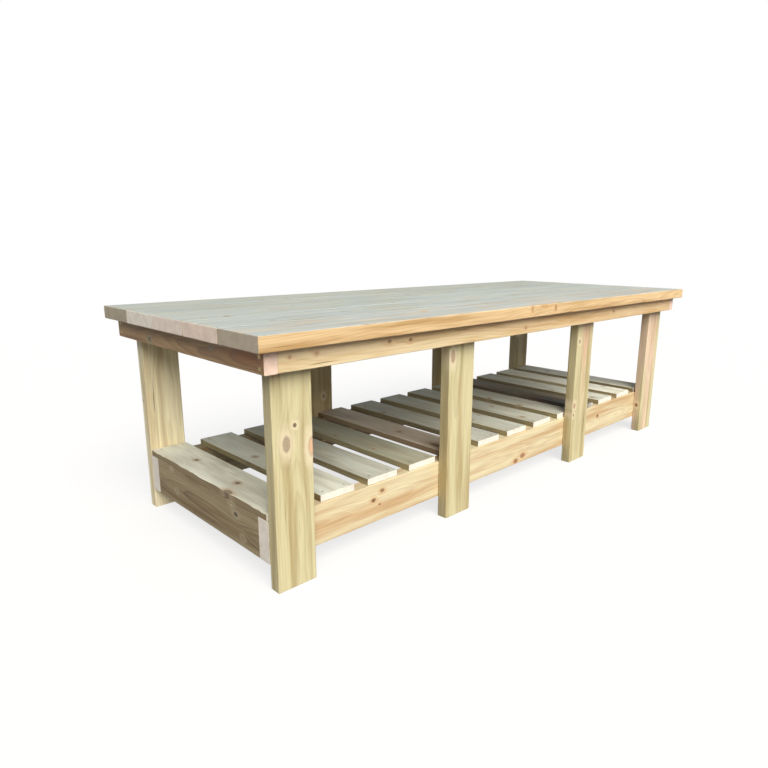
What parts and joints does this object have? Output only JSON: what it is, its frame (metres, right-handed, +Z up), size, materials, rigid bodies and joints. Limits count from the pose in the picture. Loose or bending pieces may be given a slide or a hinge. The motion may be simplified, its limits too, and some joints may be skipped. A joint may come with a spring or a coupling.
{
  "type": "potting bench",
  "caption": "Long timber potting bench: thick plank worktop on an apron frame, flat upright legs and a slatted lower shelf between front and back rails.",
  "frame": {"origin": "on the ground under the middle of the bench", "axes": "+X along the length, towards the right end seen from the front; +Y from the front edge to the back edge; +Z up"},
  "size_m": [2.79, 1.1, 0.82],
  "materials": {
    "worktop_softwood": "pressure-treated softwood, planed and lightly weathered",
    "frame_softwood": "pressure-treated softwood, planed",
    "slat_softwood": "pressure-treated softwood, planed and lightly weathered",
    "screw_steel": "yellow passivated zinc"
  },
  "bodies": {
    "root": {"apron_back": "frame_softwood", "apron_corner_screws": "screw_steel", "apron_front": "frame_softwood", "apron_left": "frame_softwood", "apron_right": "frame_softwood", "bearer_left": "frame_softwood", "bearer_right": "frame_softwood", "bearer_screws": "screw_steel", "leg_apron_screws": "screw_steel", "leg_back_1": "frame_softwood", "leg_back_2": "frame_softwood", "leg_back_3": "frame_softwood", "leg_back_4": "frame_softwood", "leg_front_1": "frame_softwood", "leg_front_2": "frame_softwood", "leg_front_3": "frame_softwood", "leg_front_4": "frame_softwood", "leg_rail_screws": "screw_steel", "rail_corner_screws": "screw_steel", "shelf_rail_back": "frame_softwood", "shelf_rail_front": "frame_softwood", "shelf_rail_left": "frame_softwood", "shelf_rail_right": "frame_softwood", "shelf_slat_01": "slat_softwood", "shelf_slat_02": "slat_softwood", "shelf_slat_03": "slat_softwood", "shelf_slat_04": "slat_softwood", "shelf_slat_05": "slat_softwood", "shelf_slat_06": "slat_softwood", "shelf_slat_07": "slat_softwood", "shelf_slat_08": "slat_softwood", "shelf_slat_09": "slat_softwood", "shelf_slat_10": "slat_softwood", "shelf_slat_11": "slat_softwood", "shelf_slat_12": "slat_softwood", "shelf_slat_13": "slat_softwood", "slat_screws": "screw_steel", "top_board_1": "worktop_softwood", "top_board_2": "worktop_softwood", "top_board_3": "worktop_softwood", "top_board_4": "worktop_softwood", "top_board_5": "worktop_softwood", "top_screws": "screw_steel"}
  },
  "joints": []
}
